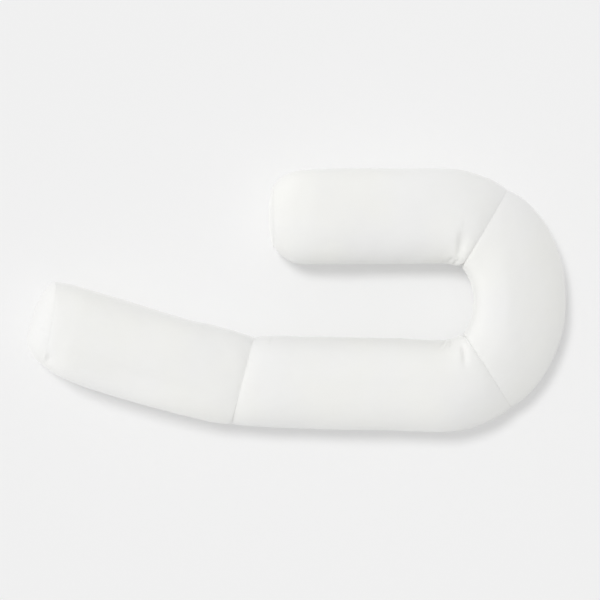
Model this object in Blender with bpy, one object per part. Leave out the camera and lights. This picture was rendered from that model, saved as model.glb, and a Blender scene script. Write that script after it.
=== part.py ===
"""Body pillow: one long stuffed tube in the shape of a J, lying flat on a surface.

The tube is sewn up from four lengths of cloth, and an end panel closes each end. The short arm runs
straight, the tube turns back through half a circle, the long arm runs the other way, and the tail
turns up from it. Each length is its own solid, of the cloth and the filling behind it, with a gap the
width of a seam's thread to the next. Metres, +Z up, the surface at z = 0.
"""
from collections import namedtuple
from math import cos, pi, radians, sin, tan

import bmesh
import bpy
from mathutils import Vector

# Driving sizes of the centreline, seen from above, in metres and degrees
SHORT_STRAIGHT = 0.435     # from the short arm's end seam to the start of the half circle
BEND_RADIUS = 0.220
BEND_START = 31.0          # how far the tube has turned at the seam from the short arm to the bend
BEND_END = 146.8           # and at the seam from the bend to the long arm
LONG_HEADING = 181.3       # the long arm drifts a little towards the short one
LONG_STRAIGHT = 0.510
TAIL_HEADING = 193.6       # the tail's direction where it leaves the long arm
TAIL_TURN = 5.4            # and how much further it bows by its end
TAIL_LENGTH = 0.533

# Section of the stuffed tube
RING_POINTS = 28
WIDEST_AT = 0.46           # height of the widest line, as a part of the tube's height
SIDES = 2.6                # superellipse exponent below the widest line: 2 is an ellipse
FLATTENING = 1.08          # how far the underside would reach past the surface it rests on

# Seams and rings
SEAM_GAP = 0.0003          # between the solids of two lengths
RING_STEP = 0.035          # between rings, away from the seams
NEAR_SEAM = (0.0, 0.008, 0.022, 0.040)  # ring distances beside a seam

# Domes of the end panels
SHORT_BULGE = 0.010
TAIL_BULGE = 0.036
DOME_RINGS = (0.96, 0.86, 0.68, 0.42, 0.18)  # each ring's size, as a part of the seam's
DOME_ROUNDNESS = 3.0

WHITE_COTTON = (0.855, 0.855, 0.845, 1.0)
CLOTH_ROUGHNESS = 0.9

# Rows along each length: distance from its start, half widths on the two sides of the centreline,
# height of the top and of the underside, how far the ring is turned from square across the tube, how
# far its plane leans back from upright, how far its crown is shifted to the inner side, and the
# superellipse exponent of its two upper sides: a slack side is full, and a taut one is nearly an ellipse
Row = namedtuple("Row", "at outer inner top under skew lean shift out_full in_full")

SHORT_ARM_ROWS = (
    Row(0.000, 0.084, 0.084, 0.150, 0.024, 0.0, 0.0, 0.000, 2.6, 2.6),
    Row(0.021, 0.103, 0.104, 0.164, 0.010, 0.0, 0.0, 0.000, 2.8, 2.6),
    Row(0.058, 0.118, 0.123, 0.178, 0.000, 0.0, 0.0, 0.000, 3.4, 2.6),
    Row(0.120, 0.122, 0.125, 0.188, 0.000, 0.0, 0.0, 0.000, 3.6, 2.7),
    Row(0.300, 0.124, 0.124, 0.190, 0.000, 0.0, 0.0, 0.000, 3.6, 2.7),
    Row(0.430, 0.125, 0.123, 0.190, 0.000, 0.0, 0.0, 0.008, 3.2, 2.7),
    Row(0.520, 0.125, 0.121, 0.187, 0.000, 0.0, 0.0, 0.028, 2.3, 2.5),
    Row(0.554, 0.117, 0.115, 0.180, 0.006, 0.0, 0.0, 0.038, 2.0, 2.4),
)
BEND_ROWS = (
    Row(0.000, 0.117, 0.115, 0.180, 0.006, 0.0, 0.0, 0.038, 2.0, 2.4),
    Row(0.040, 0.124, 0.121, 0.182, 0.000, 0.0, 0.0, 0.043, 1.9, 2.4),
    Row(0.130, 0.116, 0.128, 0.183, 0.000, 0.0, 0.0, 0.052, 1.75, 2.4),
    Row(0.222, 0.111, 0.130, 0.184, 0.000, 0.0, 0.0, 0.056, 1.7, 2.4),
    Row(0.315, 0.112, 0.128, 0.183, 0.000, 0.0, 0.0, 0.052, 1.75, 2.4),
    Row(0.405, 0.117, 0.119, 0.182, 0.000, 0.0, 0.0, 0.043, 1.9, 2.4),
    Row(0.4447, 0.114, 0.113, 0.180, 0.006, 0.0, 0.0, 0.038, 2.0, 2.4),
)
LONG_ARM_ROWS = (
    Row(0.000, 0.114, 0.113, 0.180, 0.006, 0.0, 0.0, 0.038, 2.0, 2.4),
    Row(0.036, 0.121, 0.120, 0.185, 0.000, 0.0, 0.0, 0.028, 2.3, 2.3),
    Row(0.132, 0.124, 0.123, 0.190, 0.000, 0.0, 0.0, 0.006, 3.1, 2.2),
    Row(0.360, 0.123, 0.123, 0.190, 0.000, 0.0, 0.0, 0.000, 3.3, 2.2),
    Row(0.520, 0.121, 0.121, 0.189, 0.000, 3.0, 0.0, 0.000, 3.3, 2.3),
    Row(0.600, 0.120, 0.120, 0.186, 0.000, 9.0, 0.0, 0.000, 3.2, 2.6),
    Row(0.6425, 0.119, 0.119, 0.181, 0.006, 13.5, 0.0, 0.000, 3.0, 2.7),
)
TAIL_ROWS = (
    Row(0.000, 0.119, 0.119, 0.181, 0.006, 1.2, 0.0, -0.006, 3.0, 2.7),
    Row(0.036, 0.123, 0.122, 0.183, 0.000, 0.8, 0.0, -0.009, 3.3, 3.4),
    Row(0.160, 0.124, 0.122, 0.189, 0.000, 0.0, 0.0, -0.020, 3.8, 4.2),
    Row(0.330, 0.124, 0.122, 0.187, 0.000, 0.0, 0.0, -0.024, 3.8, 4.2),
    Row(0.450, 0.120, 0.121, 0.186, 0.000, -3.0, 5.0, -0.022, 3.4, 3.8),
    Row(0.505, 0.114, 0.117, 0.181, 0.003, -7.0, 10.0, -0.018, 3.0, 3.0),
    Row(0.533, 0.107, 0.111, 0.176, 0.010, -9.0, 13.0, -0.015, 2.8, 2.8),
)


def turned(heading):
    """Unit vector for a heading in degrees; headings grow clockwise from +X, as the tube turns."""
    return Vector((cos(radians(heading)), -sin(radians(heading)), 0.0))


def walk(start, heading, length, turn):
    """The point and heading at the end of an arc of this length and turn, from start."""
    if turn == 0.0:
        return start + turned(heading) * length, heading
    chord = length * sin(radians(turn / 2)) / radians(turn / 2)
    return start + turned(heading + turn / 2) * chord, heading + turn


def walk_runs(start, runs, distance):
    """The point and heading at a distance along a chain of runs, each (heading, length, turn)."""
    point = start
    for number, (heading, length, turn) in enumerate(runs):
        if distance <= length or number == len(runs) - 1:
            return walk(point, heading, distance, turn * distance / length)
        point, _ = walk(point, heading, length, turn)
        distance -= length


def between_rows(rows, distance):
    """The row at a distance, read from a smooth curve through the rows of the table."""
    last = len(rows) - 1
    here = 0
    while here < last - 1 and rows[here + 1].at < distance:
        here += 1
    before, after = rows[here], rows[here + 1]
    span = after.at - before.at
    t = (distance - before.at) / span
    values = []
    for column in range(len(before)):
        first = rows[max(here - 1, 0)]
        final = rows[min(here + 2, last)]
        slope_in = (after[column] - first[column]) / (after.at - first.at) * span
        slope_out = (final[column] - before[column]) / (final.at - before.at) * span
        values.append(before[column] * (2 * t**3 - 3 * t**2 + 1) + slope_in * (t**3 - 2 * t**2 + t)
                      + after[column] * (3 * t**2 - 2 * t**3) + slope_out * (t**3 - t**2))
    return Row(*values)


def ring_points(centre, heading, row):
    """One cross-section: crowned on top, drawn in to the sides, flat where it rests."""
    across = turned(heading + row.skew - 90.0)
    along = turned(heading + row.skew)
    under = max(row.under, 0.0)
    widest = under + WIDEST_AT * (row.top - under)
    points = []
    for step in range(RING_POINTS):
        angle = 2 * pi * step / RING_POINTS
        side = abs(cos(angle))
        rise = abs(sin(angle))
        power = 2 / SIDES
        if sin(angle) >= 0:
            power = 2 / (row.out_full if cos(angle) >= 0 else row.in_full)
        reach = side**power * (row.outer if cos(angle) >= 0 else -row.inner)
        if sin(angle) >= 0:
            height = widest + rise**power * (row.top - widest)
            reach -= row.shift * rise**(2 * power)
        else:
            height = max(widest - rise**power * (widest - under) * FLATTENING, under)
        back = (height - widest) * tan(radians(row.lean))
        points.append(centre + across * reach - along * back + Vector((0.0, 0.0, height)))
    return points


def ring_places(length):
    """Distances of the rings along a length: close together at the seams, even in between."""
    middle = length - 2 * NEAR_SEAM[-1]
    count = round(middle / RING_STEP)
    even = [NEAR_SEAM[-1] + middle * number / count for number in range(1, count)]
    return [*NEAR_SEAM, *even, *(length - near for near in reversed(NEAR_SEAM))]


def cotton(name):
    """White cotton cover cloth."""
    material = bpy.data.materials.new(name)
    material.use_nodes = True
    shader = material.node_tree.nodes["Principled BSDF"]
    shader.inputs["Base Color"].default_value = WHITE_COTTON
    shader.inputs["Roughness"].default_value = CLOTH_ROUGHNESS
    shader.inputs["Metallic"].default_value = 0.0
    material.diffuse_color = WHITE_COTTON
    return material


def closed_loft(name, rings):
    """A closed solid through rings of points; its first and last rings are filled."""
    bm = bmesh.new()
    loops = [[bm.verts.new(point) for point in ring] for ring in rings]
    for ring, following in zip(loops, loops[1:]):
        for step in range(RING_POINTS):
            after = (step + 1) % RING_POINTS
            bm.faces.new((ring[step], ring[after], following[after], following[step]))
    bm.faces.new(loops[0])
    bm.faces.new(loops[-1])
    bmesh.ops.recalc_face_normals(bm, faces=bm.faces)
    mesh = bpy.data.meshes.new(name)
    bm.to_mesh(mesh)
    bm.free()
    mesh.shade_smooth()
    mesh.set_sharp_from_angle(angle=radians(40))
    solid = bpy.data.objects.new(name, mesh)
    bpy.context.scene.collection.objects.link(solid)
    mesh.materials.append(cotton(name + "_cloth"))
    return solid


def length_rings(start, runs, rows):
    """The rings of one length of the tube, held half a seam gap clear of its two seams."""
    whole = rows[-1].at
    rings = []
    for place in ring_places(whole):
        clear = min(max(place, SEAM_GAP / 2), whole - SEAM_GAP / 2)
        centre, heading = walk_runs(start, runs, clear)
        rings.append(ring_points(centre, heading, between_rows(rows, clear)))
    return rings


def end_panel(name, seam_ring, outward, bulge):
    """A panel sewn into the tube's end, which the filling pushes out into a shallow dome."""
    middle = sum(seam_ring, Vector()) / len(seam_ring)
    rings = [[point + outward * SEAM_GAP for point in seam_ring]]
    for size in DOME_RINGS:
        push = outward * (SEAM_GAP + bulge * (1 - size**DOME_ROUNDNESS))
        rings.append([middle + (point - middle) * size + push for point in seam_ring])
    return closed_loft(name, rings)


def stand_on_floor(solids):
    """Shift every solid so that the whole pillow's box stands centred on the origin."""
    corners = [vertex.co for solid in solids for vertex in solid.data.vertices]
    low = Vector([min(corner[axis] for corner in corners) for axis in range(3)])
    high = Vector([max(corner[axis] for corner in corners) for axis in range(3)])
    shift = Vector((-(low.x + high.x) / 2, -(low.y + high.y) / 2, -low.z))
    for solid in solids:
        for vertex in solid.data.vertices:
            vertex.co += shift


def build():
    """Make the four lengths and the two end panels."""
    start = Vector((0.0, 0.0, 0.0))
    curve = BEND_RADIUS * pi / 180
    short_runs = ((0.0, SHORT_STRAIGHT, 0.0), (0.0, curve * BEND_START, BEND_START))
    bend_runs = ((BEND_START, curve * (BEND_END - BEND_START), BEND_END - BEND_START),)
    long_turn = LONG_HEADING - BEND_END
    long_runs = ((BEND_END, curve * long_turn, long_turn), (LONG_HEADING, LONG_STRAIGHT, 0.0))
    tail_runs = ((TAIL_HEADING, TAIL_LENGTH, TAIL_TURN),)
    lengths = (("short_arm", short_runs, SHORT_ARM_ROWS), ("bend", bend_runs, BEND_ROWS),
               ("long_arm", long_runs, LONG_ARM_ROWS), ("tail", tail_runs, TAIL_ROWS))
    solids = []
    rings = {}
    for name, runs, rows in lengths:
        rings[name] = length_rings(start, runs, rows)
        solids.append(closed_loft(name, rings[name]))
        start, _ = walk_runs(start, runs, sum(run[1] for run in runs))
    solids.append(end_panel("end_panel_short", rings["short_arm"][0], -turned(0.0), SHORT_BULGE))
    tail_out = turned(TAIL_HEADING + TAIL_TURN + TAIL_ROWS[-1].skew)
    solids.append(end_panel("end_panel_tail", rings["tail"][-1], tail_out, TAIL_BULGE))
    stand_on_floor(solids)


for old in list(bpy.data.objects):
    bpy.data.objects.remove(old, do_unlink=True)
build()
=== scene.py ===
# %% [markdown]
# # A long stuffed body pillow
# The pillow is one tube of white cotton, stuffed with fibre and bent into a J. It is sewn up from four
# lengths: a short arm, a half-round bend, a long arm and a tail that turns up from it. Each length has
# an upper and a lower panel of cloth, and an end panel closes the tube at each end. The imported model
# holds six plain solids, one for each length and end. This script puts the cloth on them: every piece
# is cut flat, rolled up, sewn shut and blown up by its filling, as it is in a workshop.

# %% Load the plain solids
from collections import namedtuple
from math import cos, hypot, pi, radians, sin, tan

import bmesh
import bpy
import numpy as np
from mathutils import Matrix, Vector, noise


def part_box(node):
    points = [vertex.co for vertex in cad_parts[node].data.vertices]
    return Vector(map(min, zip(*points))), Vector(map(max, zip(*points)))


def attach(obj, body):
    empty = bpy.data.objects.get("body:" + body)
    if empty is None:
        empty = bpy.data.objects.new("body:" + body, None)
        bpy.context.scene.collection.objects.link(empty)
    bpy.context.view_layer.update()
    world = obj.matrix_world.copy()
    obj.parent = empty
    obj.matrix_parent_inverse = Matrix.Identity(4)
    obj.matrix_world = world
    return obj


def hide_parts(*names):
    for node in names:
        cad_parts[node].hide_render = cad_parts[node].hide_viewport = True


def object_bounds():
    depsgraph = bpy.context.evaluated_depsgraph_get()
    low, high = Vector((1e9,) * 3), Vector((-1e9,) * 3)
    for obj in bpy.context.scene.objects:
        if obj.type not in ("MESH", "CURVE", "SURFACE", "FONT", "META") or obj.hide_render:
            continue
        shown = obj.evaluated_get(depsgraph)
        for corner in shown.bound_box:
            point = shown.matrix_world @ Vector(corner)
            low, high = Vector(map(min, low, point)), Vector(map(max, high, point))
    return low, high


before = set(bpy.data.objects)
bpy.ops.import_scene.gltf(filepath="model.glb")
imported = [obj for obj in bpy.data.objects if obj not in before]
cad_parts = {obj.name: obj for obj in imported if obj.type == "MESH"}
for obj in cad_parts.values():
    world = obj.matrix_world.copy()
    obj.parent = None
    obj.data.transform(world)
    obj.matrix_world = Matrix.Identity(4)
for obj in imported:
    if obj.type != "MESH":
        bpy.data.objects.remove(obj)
cad_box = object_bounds()
print("solids:", sorted(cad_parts))
print("their box:", [[round(value, 3) for value in corner] for corner in cad_box])

# %% [markdown]
# ## The line that the tube follows
# Seen from above the tube runs straight, turns back through a half circle of 22 cm, runs straight the
# other way, and kinks at the last seam. A chain of arcs describes that with a handful of numbers, where
# a drawn curve would need a point every few centimetres. A run is a heading, a length and a turn, and
# headings grow clockwise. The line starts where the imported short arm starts.

# %% The centreline
MM = 0.001
BEND_RADIUS = 0.220
ARC = BEND_RADIUS * pi / 180           # length along the bend for each degree of turn
SHORT_SEAM = 31.0                      # turned so far at the seam between the short arm and the bend
LONG_SEAM = 146.8                      # and at the seam between the bend and the long arm
LONG_HEADING = 181.3
TAIL_HEADING = 193.6
RUNS = {
    "short_arm": ((0.0, 0.435, 0.0), (0.0, ARC * SHORT_SEAM, SHORT_SEAM)),
    "bend": ((SHORT_SEAM, ARC * (LONG_SEAM - SHORT_SEAM), LONG_SEAM - SHORT_SEAM),),
    "long_arm": ((LONG_SEAM, ARC * (LONG_HEADING - LONG_SEAM), LONG_HEADING - LONG_SEAM),
                 (LONG_HEADING, 0.510, 0.0)),
    "tail": ((TAIL_HEADING, 0.533, 5.4),),
}


def turned(heading):
    """Unit vector for a heading in degrees, clockwise from +X."""
    return Vector((cos(radians(heading)), -sin(radians(heading)), 0.0))


def walk(start, runs, distance):
    """The point and heading at a distance along a chain of runs."""
    point = start
    for number, (heading, length, turn) in enumerate(runs):
        here = distance if number == len(runs) - 1 else min(distance, length)
        angle = turn * here / length
        chord = here * sin(radians(angle / 2)) / radians(angle / 2) if angle else here
        point = point + turned(heading + angle / 2) * chord
        distance -= here
        if distance <= 0:
            break
    return point, heading + angle


def run_length(runs):
    """The whole length of a chain of runs."""
    return sum(length for _, length, _ in runs)


panel_low, panel_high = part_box("end_panel_short")
arm_low, arm_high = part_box("short_arm")
STARTS = {}
corner = Vector((arm_low[0], (panel_low[1] + panel_high[1]) / 2, 0.0))
for name, runs in RUNS.items():
    STARTS[name] = corner
    corner, _ = walk(corner, runs, run_length(runs))
    print(f"{name}: {run_length(runs):.3f} m, from {STARTS[name].x:.3f}, {STARTS[name].y:.3f}")

# %% [markdown]
# ## How thick the tube is along the line
# Fibre fills a tube out to an oval that is flat where it lies. Stitching draws it in at each seam, and
# the closed ends are slacker than the middle. Each row below says how far the cloth reaches to the
# outside and the inside of the line, how high its top and its underside are, how much the ring is
# turned from square, how far it leans back, and how far its crown is shifted to the inside, because the
# cloth of a bend is taut outside and slack inside. Its last two numbers are the superellipse exponents
# of the upper panel's two sides: 2 is an ellipse, and more is fuller. A smooth curve through the rows
# gives every ring. The numbers are those of the plain solids less a few millimetres, because the filling
# swells the cloth later on.

# %% The tube's rows
Row = namedtuple("Row", "at outer inner top under skew lean shift out_full in_full")
ROWS = {
    "short_arm": (
        Row(0.000, 0.082, 0.082, 0.148, 0.024, 0.0, 0.0, 0.000, 2.6, 2.6),
        Row(0.021, 0.101, 0.102, 0.162, 0.010, 0.0, 0.0, 0.000, 2.8, 2.6),
        Row(0.058, 0.116, 0.120, 0.176, 0.001, 0.0, 0.0, 0.000, 3.4, 2.6),
        Row(0.120, 0.120, 0.122, 0.186, 0.001, 0.0, 0.0, 0.000, 3.6, 2.7),
        Row(0.300, 0.121, 0.121, 0.188, 0.001, 0.0, 0.0, 0.000, 3.6, 2.7),
        Row(0.430, 0.122, 0.120, 0.188, 0.001, 0.0, 0.0, 0.008, 3.2, 2.7),
        Row(0.520, 0.123, 0.118, 0.185, 0.001, 0.0, 0.0, 0.028, 2.3, 2.5),
        Row(0.554, 0.118, 0.114, 0.179, 0.004, 0.0, 0.0, 0.038, 2.0, 2.4),
    ),
    "bend": (
        Row(0.000, 0.118, 0.114, 0.179, 0.004, 0.0, 0.0, 0.038, 2.0, 2.4),
        Row(0.040, 0.122, 0.119, 0.180, 0.001, 0.0, 0.0, 0.043, 1.9, 2.4),
        Row(0.130, 0.114, 0.126, 0.181, 0.001, 0.0, 0.0, 0.052, 1.75, 2.4),
        Row(0.222, 0.108, 0.128, 0.182, 0.001, 0.0, 0.0, 0.056, 1.7, 2.4),
        Row(0.315, 0.110, 0.126, 0.181, 0.001, 0.0, 0.0, 0.052, 1.75, 2.4),
        Row(0.405, 0.115, 0.117, 0.180, 0.001, 0.0, 0.0, 0.043, 1.9, 2.4),
        Row(0.4447, 0.114, 0.112, 0.179, 0.004, 0.0, 0.0, 0.038, 2.0, 2.4),
    ),
    "long_arm": (
        Row(0.000, 0.114, 0.112, 0.179, 0.004, 0.0, 0.0, 0.038, 2.0, 2.4),
        Row(0.036, 0.119, 0.117, 0.183, 0.001, 0.0, 0.0, 0.028, 2.3, 2.3),
        Row(0.132, 0.121, 0.120, 0.188, 0.001, 0.0, 0.0, 0.006, 3.1, 2.2),
        Row(0.360, 0.120, 0.120, 0.188, 0.001, 0.0, 0.0, 0.000, 3.3, 2.2),
        Row(0.520, 0.118, 0.118, 0.187, 0.001, 3.0, 0.0, 0.000, 3.3, 2.3),
        Row(0.600, 0.118, 0.118, 0.184, 0.001, 9.0, 0.0, 0.000, 3.2, 2.6),
        Row(0.6425, 0.118, 0.118, 0.179, 0.004, 13.5, 0.0, 0.000, 3.0, 2.7),
    ),
    "tail": (
        Row(0.000, 0.118, 0.118, 0.179, 0.004, 1.2, 0.0, -0.006, 3.0, 2.7),
        Row(0.036, 0.121, 0.120, 0.181, 0.001, 0.8, 0.0, -0.009, 3.3, 3.4),
        Row(0.160, 0.121, 0.119, 0.187, 0.001, 0.0, 0.0, -0.020, 3.8, 4.2),
        Row(0.330, 0.121, 0.119, 0.185, 0.001, 0.0, 0.0, -0.024, 3.8, 4.2),
        Row(0.450, 0.117, 0.118, 0.184, 0.001, -3.0, 5.0, -0.022, 3.4, 3.8),
        Row(0.505, 0.112, 0.115, 0.179, 0.003, -7.0, 10.0, -0.018, 3.0, 3.0),
        Row(0.533, 0.106, 0.110, 0.174, 0.010, -9.0, 13.0, -0.015, 2.8, 2.8),
    ),
}
WIDEST_AT = 0.46      # height of the widest line, as a part of the tube's height
SIDES = 2.6           # superellipse exponent of the lower panel: 2 would be an ellipse
FLATTENING = 1.08     # how far the underside would reach past the surface it rests on
SAMPLES = 720         # round one section


def row_at(rows, distance):
    """The row at a distance, read from a smooth curve through the rows."""
    here = 0
    while here < len(rows) - 2 and rows[here + 1].at < distance:
        here += 1
    first, before = rows[max(here - 1, 0)], rows[here]
    after, final = rows[here + 1], rows[min(here + 2, len(rows) - 1)]
    span = after.at - before.at
    t = (distance - before.at) / span
    values = []
    for a, b, c, d in zip(first, before, after, final):
        slope_in = (c - a) / (after.at - first.at) * span
        slope_out = (d - b) / (final.at - before.at) * span
        values.append(b * (2 * t**3 - 3 * t**2 + 1) + slope_in * (t**3 - 2 * t**2 + t)
                      + c * (3 * t**2 - 2 * t**3) + slope_out * (t**3 - t**2))
    return Row(*values)


def section(row, turns):
    """How far across and how high the cloth lies at parts of a full turn round the section.

    A turn starts at the outer side, climbs over the crown and comes back underneath. Each half turn is
    one panel of cloth, and equal steps of turn are equal lengths of it.
    """
    angle = np.linspace(0, 2 * pi, SAMPLES + 1)
    side, rise = np.cos(angle), np.sin(angle)
    upper_full = np.where(side >= 0, row.out_full, row.in_full)
    power = np.where(angle <= pi, 2 / upper_full, 2 / SIDES)
    across = np.sign(side) * abs(side)**power * np.where(side >= 0, row.outer, row.inner)
    under = max(row.under, 0.0)
    widest = under + WIDEST_AT * (row.top - under)
    above = widest + abs(rise)**power * (row.top - widest)
    across = across - np.where(angle <= pi, row.shift * abs(rise)**(2 * power), 0.0)
    below = np.maximum(widest - abs(rise)**power * (widest - under) * FLATTENING, under)
    up = np.where(angle <= pi, above, below)
    walked = np.append(0.0, np.cumsum(np.hypot(np.diff(across), np.diff(up))))
    half = SAMPLES // 2
    upper = walked[:half] / walked[half] / 2
    lower = 0.5 + (walked[half:] - walked[half]) / (walked[-1] - walked[half]) / 2
    part = np.append(upper, lower)
    return np.interp(turns, part, across), np.interp(turns, part, up), widest


def ring(name, distance, turns):
    """Points of one length's cloth at a distance along it, at parts of a turn."""
    row = row_at(ROWS[name], distance)
    centre, heading = walk(STARTS[name], RUNS[name], distance)
    along = turned(heading + row.skew)
    across = turned(heading + row.skew - 90.0)
    reach, height, widest = section(row, turns)
    back = (height - widest) * tan(radians(row.lean))
    return [centre + across * a - along * b + Vector((0.0, 0.0, h))
            for a, b, h in zip(reach, back, height)]


middle_row = row_at(ROWS["long_arm"], 0.3)
across, up, _ = section(middle_row, np.linspace(0, 1, SAMPLES))
GIRTH = float(np.hypot(np.diff(across), np.diff(up)).sum())
print(f"the tube is {GIRTH:.3f} m round")

# %% [markdown]
# ## Cut flat, roll up, sew shut
# A tube could be a loft or a bevelled curve. Rolling a flat sheet is closer to the real work, and the
# flat sheet also gives the weave its place: its UV map, in metres, is the shape that the panel was cut
# to, so the threads run straight in the bend's curved panel as they do in real cloth. `create_grid`
# makes the sheet, `bisect_plane` lays extra lines beside the seams, where the cloth turns tightest,
# and `remove_doubles` sews its long edges. The turned-in end is an extrusion of the open edge.

# %% Roll one length
COLUMNS = 116                          # round the tube, about 6 mm each
CELL = 6 * MM                          # along the tube
SEAM_LINES = (0.4 * MM, 1.6 * MM, 3.6 * MM)  # extra lines, this far from a seam
SEAM_GAP = 0.12 * MM                   # between the cloths of two lengths
TURNED_IN = (0.955, 0.85)              # the seam allowance: the open edge, shrunk by these parts


def add_lines(bm, places, axis):
    """Cut extra lines across a flat sheet, at places along an axis."""
    for place in places:
        point, normal = Vector(), Vector()
        point[axis], normal[axis] = place, 1.0
        bmesh.ops.bisect_plane(bm, geom=bm.verts[:] + bm.edges[:] + bm.faces[:], dist=1e-6,
                               plane_co=point, plane_no=normal)


def sharpen_rim(bm):
    """Keep the open edges where they are when the piece is subdivided, and crisp."""
    crease = bm.edges.layers.float.new("crease_edge")
    for edge in bm.edges:
        if edge.is_boundary:
            edge[crease] = 1.0
            edge.smooth = False


def turn_in_ends(bm, marks):
    """Extrude each open edge inward as its seam allowance."""
    sharpen_rim(bm)
    for size in TURNED_IN:
        edges = [edge for edge in bm.edges if edge.is_boundary]
        made = bmesh.ops.extrude_edge_only(bm, edges=edges)["geom"]
        fresh = [item for item in made if isinstance(item, bmesh.types.BMVert)]
        for vertex in fresh:
            vertex[marks["shows"]] = 0.0
        for island in split_loops(fresh):
            middle = sum((vertex.co for vertex in island), Vector()) / len(island)
            for vertex in island:
                vertex.co = middle + (vertex.co - middle) * size


def split_loops(vertices):
    """Group the vertices of separate open edges."""
    left, loops = set(vertices), []
    while left:
        loop, edge_of = [], [left.pop()]
        while edge_of:
            vertex = edge_of.pop()
            loop.append(vertex)
            for edge in vertex.link_edges:
                other = edge.other_vert(vertex)
                if other in left:
                    left.remove(other)
                    edge_of.append(other)
        loops.append(loop)
    return loops


def cloth_marks(bm):
    """Marks that stay with the cloth: where on it a point is, whether it shows, how it is held."""
    names = ("along", "turn_cos", "turn_sin", "shows", "held")
    return {name: bm.verts.layers.float.new(name) for name in names}


def to_object(bm, name):
    """A new object in the scene, with its faces pointing out."""
    bmesh.ops.recalc_face_normals(bm, faces=bm.faces)
    for face in bm.faces:
        face.smooth = True
    mesh = bpy.data.meshes.new(name)
    bm.to_mesh(mesh)
    bm.free()
    piece = bpy.data.objects.new(name, mesh)
    bpy.context.scene.collection.objects.link(piece)
    return piece


def roll_length(name):
    """One length of the tube, from a flat sheet to a closed, sewn form."""
    length = run_length(RUNS[name])
    bm = bmesh.new()
    marks = cloth_marks(bm)
    uv = bm.loops.layers.uv.new("cloth")
    bmesh.ops.create_grid(bm, x_segments=COLUMNS, y_segments=round(length / CELL), size=0.5)
    bmesh.ops.translate(bm, verts=bm.verts, vec=(0.5, 0.5, 0.0))
    bmesh.ops.scale(bm, verts=bm.verts, vec=(GIRTH, length, 1.0))
    add_lines(bm, [place for near in SEAM_LINES for place in (near, length - near)], axis=1)
    side_seam = GIRTH / 2
    add_lines(bm, [place for near in SEAM_LINES
                   for place in (near, side_seam - near, side_seam + near, GIRTH - near)], axis=0)
    for face in bm.faces:
        for loop in face.loops:
            loop[uv].uv = cut_place(name, loop.vert.co, face.calc_center_median().x)
    rows = {}
    for vertex in bm.verts:
        rows.setdefault(round(vertex.co.y, 6), []).append(vertex)
    for distance, vertices in rows.items():
        turns = [vertex.co.x / GIRTH for vertex in vertices]
        place = min(max(distance, SEAM_GAP / 2), length - SEAM_GAP / 2)
        for vertex, turn, point in zip(vertices, turns, ring(name, place, turns)):
            vertex[marks["along"]] = place
            vertex[marks["turn_cos"]] = cos(2 * pi * turn)
            vertex[marks["turn_sin"]] = sin(2 * pi * turn)
            vertex[marks["shows"]] = 1.0
            vertex[marks["held"]] = 1.0 if distance in (0.0, round(length, 6)) else 0.0
            vertex.co = point
    bmesh.ops.remove_doubles(bm, verts=bm.verts, dist=0.01 * MM)
    turn_in_ends(bm, marks)
    piece = to_object(bm, name + "_cover")
    print(f"{piece.name}: {len(piece.data.polygons)} faces")
    return piece


def cut_place(name, flat, middle):
    """Where a point of the rolled sheet was on its panel when the panel was cut flat."""
    centre, heading = walk(STARTS[name], RUNS[name], flat.y)
    upper = middle < GIRTH / 2
    off_crown = GIRTH / 4 - flat.x if upper else flat.x - GIRTH * 3 / 4
    place = centre + turned(heading - 90.0) * off_crown
    return place.x, place.y


covers = {name: roll_length(name) for name in RUNS}

# %% [markdown]
# ## The end panels
# The panel at each end is cut round and sewn into the mouth of the tube, and the filling pushes it out
# into a shallow dome. A disc of rings would meet in a knot at its middle. Here a square grid is pushed
# out to a disc instead, so its threads cross the panel as they do in cut cloth, and nothing pinches.

# %% Make an end panel
END_GRID = 40                          # faces across a panel
RIM_POINTS = 96                        # round its edge, which give its middle
DOME_ROUNDNESS = 3.2                   # 2 would be a parabola, and more is flatter on top
PANEL_TURNED_IN = 0.94                 # the panel's seam allowance, as a part of its size
Dome = namedtuple("Dome", "length at outward bulge lopsided")
DOMES = {
    "end_panel_short": Dome("short_arm", 0.0, -1.0, 8 * MM, 0.0),
    "end_panel_tail": Dome("tail", run_length(RUNS["tail"]), 1.0, 36 * MM, 0.35),
}


def square_to_disc(x, y):
    """Push a square from -1 to 1 out to the unit disc."""
    return x * (1 - y * y / 2)**0.5, y * (1 - x * x / 2)**0.5


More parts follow.
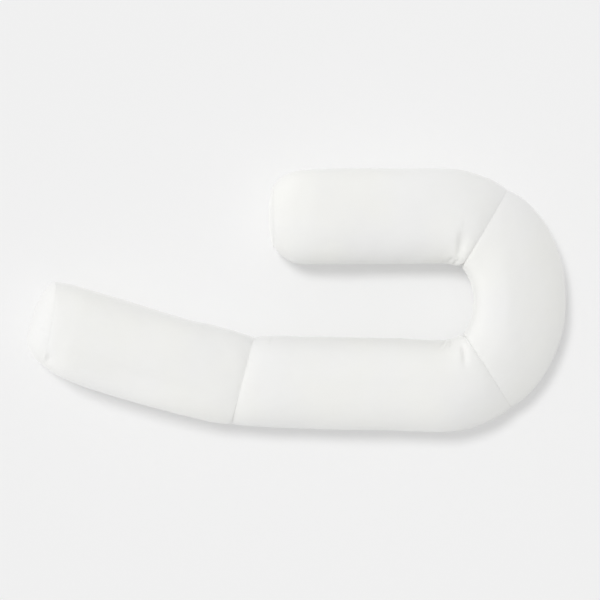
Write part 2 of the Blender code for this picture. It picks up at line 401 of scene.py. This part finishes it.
def make_end_panel(name):
    """A round panel of cloth, domed, with its edge turned in and closed behind."""
    dome = DOMES[name]
    _, heading = walk(STARTS[dome.length], RUNS[dome.length], dome.at)
    row = row_at(ROWS[dome.length], dome.at)
    outward = turned(heading + row.skew) * dome.outward
    bm = bmesh.new()
    marks = cloth_marks(bm)
    uv = bm.loops.layers.uv.new("cloth")
    bmesh.ops.create_grid(bm, x_segments=END_GRID, y_segments=END_GRID, size=1.0)
    for face in bm.faces:
        for loop in face.loops:
            x, y = square_to_disc(loop.vert.co.x, loop.vert.co.y)
            loop[uv].uv = (x * row.outer, y * (row.top - row.under) / 2)
    places = [square_to_disc(vertex.co.x, vertex.co.y) for vertex in bm.verts]
    turns = [(np.arctan2(y, x) / (2 * pi)) % 1.0 for x, y in places]
    rim = ring(dome.length, dome.at, turns)
    around = np.linspace(0, 1, RIM_POINTS, endpoint=False)
    middle = sum(ring(dome.length, dome.at, around), Vector()) / RIM_POINTS
    for vertex, (x, y), turn, point in zip(bm.verts, places, turns, rim):
        size = hypot(x, y)
        vertex[marks["along"]] = size
        vertex[marks["turn_cos"]] = cos(2 * pi * turn)
        vertex[marks["turn_sin"]] = sin(2 * pi * turn)
        vertex[marks["shows"]] = 1.0
        vertex[marks["held"]] = 1.0 if vertex.is_boundary else 0.0
        push = SEAM_GAP + dome.bulge * (1 - size**DOME_ROUNDNESS) * (1 + dome.lopsided * x)
        vertex.co = middle + (point - middle) * size + outward * push
    sharpen_rim(bm)
    edges = [edge for edge in bm.edges if edge.is_boundary]
    made = bmesh.ops.extrude_edge_only(bm, edges=edges)["geom"]
    fresh = [item for item in made if isinstance(item, bmesh.types.BMVert)]
    for vertex in fresh:
        vertex[marks["shows"]] = 0.0
        vertex.co = middle + (vertex.co - middle) * PANEL_TURNED_IN + outward * SEAM_GAP / 2
    piece = to_object(bm, name + "_cover")
    print(f"{piece.name}: {len(piece.data.polygons)} faces, dome of {dome.bulge / MM:.0f} mm")
    return piece


covers.update({name: make_end_panel(name) for name in DOMES})

# %% [markdown]
# ## Let the filling swell the cloth
# Blender's cloth simulation blows each piece up from inside: the pressure stands for the fibre, the
# sewn edges stay where they are, and the cloth is cut a little too large, as a stuffed cover is, so it
# bellies out between the seams. Gravity is off, because the fibre carries the cloth, and no point may
# move further than a few millimetres, so that the pillow keeps its size. The smallest buckles come out a
# little differently each time, so they are evened out, and the next step lays the creases.

# %% Run the cloth
Swell = namedtuple("Swell", "pressure slack reach")
SWELLS = {
    "short_arm": Swell(4.0, 0.009, 5 * MM),
    "bend": Swell(4.0, 0.006, 5 * MM),
    "long_arm": Swell(4.0, 0.007, 5 * MM),
    "tail": Swell(4.0, 0.007, 5 * MM),
    "end_panel_short": Swell(4.0, 0.02, 4 * MM),
    "end_panel_tail": Swell(6.0, 0.05, 6 * MM),
}
FRAMES = 20                            # steps of the simulation
EVENING = 60                           # passes that take the smallest buckles out again
STITCHED = 6 * MM                      # this near to a seam its stitches hold the cloth down
END_RADIUS = 0.1                       # of an end panel, roughly
SURFACE = 0.6 * MM                     # the cloth stays this far above what it lies on


def mark(mesh, name):
    """One of the cloth's marks, as an array."""
    values = np.empty(len(mesh.vertices), np.float32)
    mesh.attributes[name].data.foreach_get("value", values)
    return values


def points(mesh):
    """The places of a mesh's vertices, as an array."""
    values = np.empty(len(mesh.vertices) * 3, np.float32)
    mesh.vertices.foreach_get("co", values)
    return values.reshape(-1, 3).astype(float)


def move_points(mesh, places):
    """Put a mesh's vertices at these places."""
    mesh.vertices.foreach_set("co", places.astype(np.float32).ravel())
    mesh.update()


def off_seam(name, mesh):
    """How far each point of the cloth is from the nearest seam across the tube."""
    along = mark(mesh, "along").astype(float)
    if name in RUNS:
        return np.minimum(along, run_length(RUNS[name]) - along)
    return (1 - along).clip(0) * END_RADIUS


def evened(mesh, move):
    """The movement of the cloth, drawn pass after pass towards that of its neighbours."""
    ends = np.empty(len(mesh.edges) * 2, np.int32)
    mesh.edges.foreach_get("vertices", ends)
    one, other = ends.reshape(-1, 2).T
    neighbours = np.bincount(ends, minlength=len(move))[:, None]
    for _ in range(EVENING):
        total = np.zeros_like(move)
        np.add.at(total, one, move[other])
        np.add.at(total, other, move[one])
        move = (move + total / neighbours) / 2
    return move


def swell(name, piece, how):
    """Blow a piece up with the cloth simulation, and keep the form that it takes."""
    held = piece.vertex_groups.new(name="held")
    sewn = np.flatnonzero((mark(piece.data, "held") > 0.5) | (mark(piece.data, "shows") < 0.5))
    held.add(sewn.tolist(), 1.0, "REPLACE")
    cloth = piece.modifiers.new("Cloth", "CLOTH")
    cloth.settings.quality = 5
    cloth.settings.mass = 0.2
    cloth.settings.tension_stiffness = 20
    cloth.settings.compression_stiffness = 20
    cloth.settings.shear_stiffness = 8
    cloth.settings.bending_stiffness = 0.4
    cloth.settings.use_pressure = True
    cloth.settings.uniform_pressure_force = how.pressure
    cloth.settings.shrink_min = -how.slack
    cloth.settings.effector_weights.gravity = 0
    cloth.settings.vertex_group_mass = held.name
    cloth.collision_settings.use_collision = False
    cloth.point_cache.frame_end = FRAMES
    scene = bpy.context.scene
    for step in range(1, FRAMES + 1):
        scene.frame_set(step)
    blown = piece.evaluated_get(bpy.context.evaluated_depsgraph_get())
    before = points(piece.data)
    move = points(blown.data) - before
    far = np.linalg.norm(move, axis=1, keepdims=True)
    move *= np.tanh(far / how.reach) * how.reach / np.maximum(far, 1e-9)
    move = evened(piece.data, move)
    move *= 1 - np.exp(-(off_seam(name, piece.data)[:, None] / STITCHED)**2)
    piece.modifiers.remove(cloth)
    piece.vertex_groups.remove(held)
    scene.frame_set(1)
    places = before + move
    places[:, 2] = np.maximum(places[:, 2], SURFACE)
    move_points(piece.data, places)
    print(f"{piece.name}: moved {far.mean() / MM:.1f} mm on average, at most {far.max() / MM:.1f}")


for name, piece in covers.items():
    swell(name, piece, SWELLS[name])


def close_up(piece):
    """Close the turned-in openings, which no eye reaches, so that the piece is one closed form."""
    bm = bmesh.new()
    bm.from_mesh(piece.data)
    bmesh.ops.holes_fill(bm, edges=[edge for edge in bm.edges if edge.is_boundary], sides=0)
    bmesh.ops.recalc_face_normals(bm, faces=bm.faces)
    for face in bm.faces:
        face.smooth = True
    bm.to_mesh(piece.data)
    bm.free()


def smooth_once(piece):
    """Subdivide a piece once and keep the result as its mesh."""
    subdivide = piece.modifiers.new("Smooth", "SUBSURF")
    subdivide.levels = 1
    subdivide.render_levels = 1
    finer = piece.evaluated_get(bpy.context.evaluated_depsgraph_get())
    mesh = bpy.data.meshes.new_from_object(finer)
    piece.modifiers.remove(subdivide)
    coarse, piece.data = piece.data, mesh
    bpy.data.meshes.remove(coarse)
    print(f"{piece.name}: {len(mesh.polygons)} faces")


for piece in covers.values():
    smooth_once(piece)
    close_up(piece)

# %% [markdown]
# ## Lumps, seams and folds
# Three things are left that the simulation is too coarse for. Fibre never fills a tube evenly, so slow
# noise raises and lowers the surface by a millimetre or two. Every seam is a narrow valley with small
# puckers beside it, because the thread gathers the cloth. And at the two inner corners the spare cloth
# of the bend is pushed into folds. Each fold is a row in a table, with its two ends given by how far
# along its length they are and how far round the tube: 0 degrees is the outer side, 90 the crown and
# 180 the inner side. Its two widths are those towards the start of the length and away from it. A
# positive depth is a trough, and a negative one is a ridge. A dent is round, and has one place and size.

# %% The folds
Fold = namedtuple("Fold", "length along turn to_along to_turn near far depth")
FOLDS = (
    Fold("short_arm", 0.494, 104, 0.510, 138, 12 * MM, 24 * MM, 8.0 * MM),
    Fold("short_arm", 0.486, 146, 0.468, 166, 7 * MM, 9 * MM, 2.4 * MM),
    Fold("short_arm", 0.514, 146, 0.506, 172, 8 * MM, 9 * MM, 3.0 * MM),
    Fold("short_arm", 0.445, 158, 0.440, 176, 4 * MM, 4 * MM, 1.2 * MM),
    Fold("short_arm", 0.268, 26, 0.352, 12, 4 * MM, 4 * MM, 1.6 * MM),
    Fold("long_arm", 0.055, 110, 0.034, 140, 13 * MM, 10 * MM, 7.0 * MM),
    Fold("long_arm", 0.010, 128, 0.008, 160, 4 * MM, 4 * MM, 2.0 * MM),
    Fold("long_arm", 0.143, 146, 0.100, 170, 4 * MM, 4 * MM, 2.6 * MM),
    Fold("long_arm", 0.130, 140, 0.090, 165, 4 * MM, 4 * MM, -1.4 * MM),
    Fold("long_arm", 0.095, 142, 0.070, 164, 5 * MM, 5 * MM, 2.4 * MM),
    Fold("long_arm", 0.588, 146, 0.578, 166, 4 * MM, 4 * MM, 1.4 * MM),
    Fold("tail", 0.080, 64, 0.430, 71, 24 * MM, 34 * MM, 9.0 * MM),
)
Dent = namedtuple("Dent", "length along turn size depth")
DENTS = (
    Dent("short_arm", 0.111, 112, 6 * MM, 1.2 * MM),
    Dent("short_arm", 0.075, 99, 5 * MM, 0.6 * MM),
    Dent("short_arm", 0.500, 152, 13 * MM, 3.5 * MM),
    Dent("tail", 0.524, 46, 15 * MM, 6.0 * MM),
)
FOLD_ENDS = 0.08                       # a fold's ends lie this far into the half wave of its depth


def from_fold(along, turn, fold):
    """How deep a fold is at points of the cloth: deepest at its line's middle, shallow at its ends."""
    start = np.array((fold.along, fold.turn / 360 * GIRTH))
    line = np.array((fold.to_along, fold.to_turn / 360 * GIRTH)) - start
    place = np.stack((along, turn * GIRTH), axis=1) - start
    part = place @ line / (line @ line)
    off = np.linalg.norm(place - part.clip(0, 1)[:, None] * line, axis=1)
    reach = np.where(place[:, 0] * line[1] < place[:, 1] * line[0], fold.near, fold.far)
    ends = np.sin(pi * (FOLD_ENDS + (1 - 2 * FOLD_ENDS) * part.clip(0, 1)))
    return fold.depth * ends * np.exp(-(off / reach)**2)


def into_dents(places, off):
    """How deep the dents are at each place, this far off the nearest seam, which stays closed."""
    depth = np.zeros(len(places))
    for dent in DENTS:
        middle = ring(dent.length, dent.along, [dent.turn / 360])[0]
        away = np.linalg.norm(places - np.array(middle), axis=1)
        depth += dent.depth * np.exp(-(away / dent.size)**2)
    return depth * (1 - np.exp(-(off / STITCHED)**2))


# %% Noise that stays with the place
LUMPS = ((110 * MM, 1.7 * MM), (48 * MM, 0.8 * MM), (22 * MM, 0.30 * MM))  # width and height
SEED_STEP = Vector((3.7, 5.3, 7.1))    # from one seed's noise to the next


def noise_at(places, size, seed):
    """Smooth noise between -1 and 1 at each place, with bumps of this size."""
    shift = seed * SEED_STEP
    return np.array([noise.noise(Vector(place) / size + shift) for place in places])


def lumps(places):
    """The unevenness of the filling."""
    return sum(height * noise_at(places, size, seed)
               for seed, (size, height) in enumerate(LUMPS, start=1))


# %% Put them on the cloth
Seam = namedtuple("Seam", "valley reach lip gather")
BEND_SEAM = Seam(0.7 * MM, 8 * MM, 0.5 * MM, 3.5)    # to the bend: gathered at the inner corner
TAIL_SEAM = Seam(2.5 * MM, 30 * MM, 0.4 * MM, 0.4)   # between the long arm and the tail: a broad dip
END_SEAM = Seam(0.5 * MM, 8 * MM, 0.1 * MM, 0.0)     # round an end panel
SEAMS = {
    "short_arm": (END_SEAM, BEND_SEAM),
    "bend": (BEND_SEAM, BEND_SEAM),
    "long_arm": (BEND_SEAM, TAIL_SEAM),
    "tail": (TAIL_SEAM, END_SEAM),
}
LIP_REACH = 2.4 * MM                   # the turned edge itself
Pucker = namedtuple("Pucker", "depth reach width")
SEAM_PUCKER = Pucker(0.6 * MM, 9 * MM, 13 * MM)
END_PUCKER = Pucker(1.2 * MM, 12 * MM, 16 * MM)
SIDE_PUCKER = Pucker(0.6 * MM, 8 * MM, 12 * MM)
SIDE_VALLEY = 1.0 * MM                 # of the seam between the upper and the lower panel
SIDE_REACH = 2.0 * MM
DRAWN_OUT = (1, 1, 0.35)               # puckers are longer across a seam than they are wide
ON_RIM = 0.9                           # cloth marked as held more than this is an opening's edge


def facing(mesh, openings):
    """The directions in which the cloth faces; round an opening, straight out from its middle."""
    values = np.empty(len(mesh.vertices) * 3, np.float32)
    mesh.vertex_normals.foreach_get("vector", values)
    values = values.reshape(-1, 3).astype(float)
    places = points(mesh)
    for opening in openings:
        out = places[opening] - places[opening].mean(axis=0)
        values[opening] = out / np.linalg.norm(out, axis=1, keepdims=True)
    return values


def work_length(name, piece):
    """Lumps, seams, puckers and folds on one length of the tube."""
    mesh = piece.data
    places = points(mesh)
    along = mark(mesh, "along").astype(float)
    turn = (np.arctan2(mark(mesh, "turn_sin"), mark(mesh, "turn_cos")) / (2 * pi)) % 1.0
    length = run_length(RUNS[name])
    inner = np.maximum(-np.cos(2 * pi * turn), 0.0)**1.5
    off_side = np.minimum(abs(turn - 0.5), np.minimum(turn, 1 - turn)) * GIRTH
    depth = into_dents(places, off_seam(name, mesh)) - lumps(places)
    round_tube = np.stack((np.cos(2 * pi * turn), np.sin(2 * pi * turn), along), axis=1)
    round_tube[:, :2] *= GIRTH / (2 * pi)
    puckers = SEAM_PUCKER.depth * noise_at(round_tube * DRAWN_OUT, SEAM_PUCKER.width, seed=4)
    for off, seam in zip((along, length - along), SEAMS[name]):
        pull = 1 + seam.gather * inner
        depth += pull * seam.valley * np.exp(-off / seam.reach)
        depth += pull * seam.lip * np.exp(-off / LIP_REACH)
        depth += pull * puckers * off / SEAM_PUCKER.reach * np.exp(1 - off / SEAM_PUCKER.reach)
    depth += SIDE_VALLEY * np.exp(-(off_side / SIDE_REACH)**2)
    side_puckers = SIDE_PUCKER.depth * noise_at(round_tube, SIDE_PUCKER.width, seed=5)
    depth += side_puckers * np.exp(-off_side / SIDE_PUCKER.reach)
    for fold in FOLDS:
        if fold.length == name:
            depth += from_fold(along, turn, fold)
    rim = mark(mesh, "held") > ON_RIM
    directions = facing(mesh, (rim & (along < length / 2), rim & (along > length / 2)))
    places -= directions * depth[:, None]
    places[:, 2] = np.maximum(places[:, 2], SURFACE)
    move_points(mesh, places)
    print(f"{piece.name}: from {-depth.min() / MM:.1f} mm out to {depth.max() / MM:.1f} mm in")


def work_end(name, piece):
    """Lumps and puckers on an end panel."""
    mesh = piece.data
    places = points(mesh)
    size = mark(mesh, "along").astype(float)
    turn = np.arctan2(mark(mesh, "turn_sin"), mark(mesh, "turn_cos"))
    off = off_seam(name, mesh)
    depth = into_dents(places, off) - lumps(places)
    depth += (END_SEAM.valley + END_SEAM.lip) * np.exp(-off / LIP_REACH)
    spokes = np.stack((np.cos(turn), np.sin(turn), size), axis=1) * END_RADIUS * DRAWN_OUT
    puckers = END_PUCKER.depth * noise_at(spokes, END_PUCKER.width, seed=6)
    depth += puckers * off / END_PUCKER.reach * np.exp(1 - off / END_PUCKER.reach)
    places -= facing(mesh, (mark(mesh, "held") > ON_RIM,)) * depth[:, None]
    places[:, 2] = np.maximum(places[:, 2], SURFACE)
    move_points(mesh, places)
    print(f"{piece.name}: from {-depth.min() / MM:.1f} mm out to {depth.max() / MM:.1f} mm in")


for name, piece in covers.items():
    if name in RUNS:
        work_length(name, piece)
    else:
        work_end(name, piece)

# %% [markdown]
# ## White cotton cloth
# The cover is plain-woven cotton: matte, a little off pure white, and with a faint bright edge where
# its fuzz catches the light from the side, which the sheen gives. A real thread is about 0.3 mm wide,
# too fine to see on a whole pillow, so the weave is drawn four times as coarse, very low, in the bump.
# Slow noise warms and cools the white by about one part in a hundred, as in washed cotton.

# %% The cloth's material
THREAD = 1.2 * MM                      # between two drawn threads, four times the real 0.3 mm


def srgb(code):
    """A six-digit sRGB colour as linear red, green, blue and alpha."""
    parts = [int(code[start:start + 2], 16) / 255 for start in (0, 2, 4)]
    return (*[part / 12.92 if part <= 0.04045 else ((part + 0.055) / 1.055)**2.4 for part in parts], 1.0)


def add_node(material, kind, settings=None, values=None, links=None):
    """Add a node: its settings, the values of its inputs, and what its inputs are linked to."""
    node = material.node_tree.nodes.new(kind)
    for key, value in (settings or {}).items():
        setattr(node, key, value)
    for key, value in (values or {}).items():
        node.inputs[key].default_value = value
    for key, output in (links or {}).items():
        material.node_tree.links.new(output, node.inputs[key])
    return node


def cotton_cloth():
    """Plain-woven white cotton."""
    material = bpy.data.materials.new("white plain-woven cotton")
    material.use_nodes = True
    tree = material.node_tree
    shader = tree.nodes["Principled BSDF"]
    shader.inputs["Roughness"].default_value = 0.92
    shader.inputs["IOR"].default_value = 1.47
    shader.inputs["Specular IOR Level"].default_value = 0.25
    shader.inputs["Sheen Weight"].default_value = 0.6
    shader.inputs["Sheen Roughness"].default_value = 0.45
    place = add_node(material, "ShaderNodeTexCoord")
    flat = add_node(material, "ShaderNodeUVMap", {"uv_map": "cloth"})
    patches = add_node(material, "ShaderNodeTexNoise", values={"Scale": 5.0, "Detail": 2.0},
                       links={"Vector": place.outputs["Object"]})
    tint = add_node(material, "ShaderNodeValToRGB", links={"Fac": patches.outputs["Fac"]})
    tint.color_ramp.elements[0].position = 0.35
    tint.color_ramp.elements[0].color = srgb("EDEDEC")
    tint.color_ramp.elements[1].position = 0.65
    tint.color_ramp.elements[1].color = srgb("EEEEEB")
    tree.links.new(tint.outputs["Color"], shader.inputs["Base Color"])
    threads = []
    for direction in ("X", "Y"):
        threads.append(add_node(
            material, "ShaderNodeTexWave", {"bands_direction": direction, "wave_profile": "SIN"},
            {"Scale": 2 * pi / (20 * THREAD), "Distortion": 0.6, "Detail": 1.0, "Detail Scale": 2.0},
            {"Vector": flat.outputs["UV"]}))
    woven = add_node(material, "ShaderNodeMath", {"operation": "MULTIPLY"},
                     links={0: threads[0].outputs["Fac"], 1: threads[1].outputs["Fac"]})
    slubs = add_node(material, "ShaderNodeTexNoise", values={"Scale": 260.0, "Detail": 3.0},
                     links={"Vector": flat.outputs["UV"]})
    height = add_node(material, "ShaderNodeMath", {"operation": "ADD"},
                      links={0: woven.outputs["Value"], 1: slubs.outputs["Fac"]})
    bump = add_node(material, "ShaderNodeBump", values={"Strength": 0.35, "Distance": 0.25 * MM},
                    links={"Height": height.outputs["Value"]})
    tree.links.new(bump.outputs["Normal"], shader.inputs["Normal"])
    return material


cotton = cotton_cloth()
for piece in covers.values():
    piece.data.materials.clear()
    piece.data.materials.append(cotton)
print("material:", cotton.name)

# %% [markdown]
# ## Hand the pieces to the frame
# Each cover rides on the one rigid body and stands for its plain solid, which is hidden.

# %% Ride and replace
for name, piece in covers.items():
    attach(piece, "root")
    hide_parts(name)
print("covers:", sorted(piece.name for piece in covers.values()))

# %% [markdown]
# ## Floor, light and camera
# The pillow lies on a sheet of opal acrylic lit from behind, which keeps its shadow short and pale. One
# soft key light comes from high on the far left, and a pale world fills the rest. Five weak lights shape
# the white cloth: two from the left, one of them low, and one each from the right, the front and the
# back. They are linked to the covers alone, as a studio flags its lights off the floor, or each would lay
# a shadow of its own on it. The camera looks straight down through a long lens, so seams stay straight.

# %% The floor
FLOOR_SIDE = 60.0                      # metres, so no edge of it shows


def opal_acrylic():
    """Opal acrylic sheet, lit evenly from below, as a light table is."""
    material = bpy.data.materials.new("back-lit opal acrylic")
    material.use_nodes = True
    shader = material.node_tree.nodes["Principled BSDF"]
    shader.inputs["Base Color"].default_value = srgb("EAEAEA")
    shader.inputs["Roughness"].default_value = 0.95
    shader.inputs["Specular IOR Level"].default_value = 0.0
    shader.inputs["Emission Color"].default_value = srgb("FFFFFF")
    shader.inputs["Emission Strength"].default_value = 0.135
    return material


bm = bmesh.new()
bmesh.ops.create_grid(bm, x_segments=1, y_segments=1, size=FLOOR_SIDE / 2)
floor = to_object(bm, "light_table")
floor.data.materials.append(opal_acrylic())

# %% Light
Sun = namedtuple("Sun", "name heading elevation spread strength flagged")
SUNS = (
    Sun("key", 228.0, 69.0, 15.0, 1.0, False),
    Sun("side", 180.0, 28.0, 30.0, 0.40, True),
    Sun("low_side", 180.0, 6.0, 20.0, 0.22, True),
    Sun("rim", 10.0, 10.0, 40.0, 0.15, True),
    Sun("front", 95.0, 20.0, 30.0, 0.20, True),
    Sun("back", 270.0, 15.0, 30.0, 0.22, True),
)
covers_alone = bpy.data.collections.new("lit by the shaping lights")
for piece in covers.values():
    covers_alone.objects.link(piece)
for sun in SUNS:
    data = bpy.data.lights.new(sun.name, "SUN")
    data.energy = sun.strength
    data.angle = radians(sun.spread)
    light = bpy.data.objects.new(sun.name, data)
    towards = turned(sun.heading)
    towards.z = tan(radians(sun.elevation))
    light.rotation_euler = towards.to_track_quat("Z", "Y").to_euler()
    if sun.flagged:
        light.light_linking.receiver_collection = covers_alone
    bpy.context.scene.collection.objects.link(light)

world = bpy.data.worlds.new("pale studio")
world.use_nodes = True
background = world.node_tree.nodes["Background"]
background.inputs["Color"].default_value = srgb("FFFFFF")
background.inputs["Strength"].default_value = 0.60
bpy.context.scene.world = world
bpy.context.scene.view_settings.view_transform = "Standard"

# %% Camera
VIEW_WIDTH = 1.564                     # across the view, at the tube's widest height
LENS = 150.0                           # and the sensor, both in millimetres
SENSOR = 36.0
VIEW_CENTRE = (0.004, 0.001)
widest_height = WIDEST_AT * (cad_box[1][2] - cad_box[0][2])
camera_data = bpy.data.cameras.new("camera")
camera_data.lens = LENS
camera_data.sensor_width = SENSOR
camera = bpy.data.objects.new("camera", camera_data)
camera.location = (*VIEW_CENTRE, widest_height + VIEW_WIDTH * LENS / SENSOR)
bpy.context.scene.collection.objects.link(camera)
bpy.context.scene.camera = camera
print("camera at", [round(value, 3) for value in camera.location])
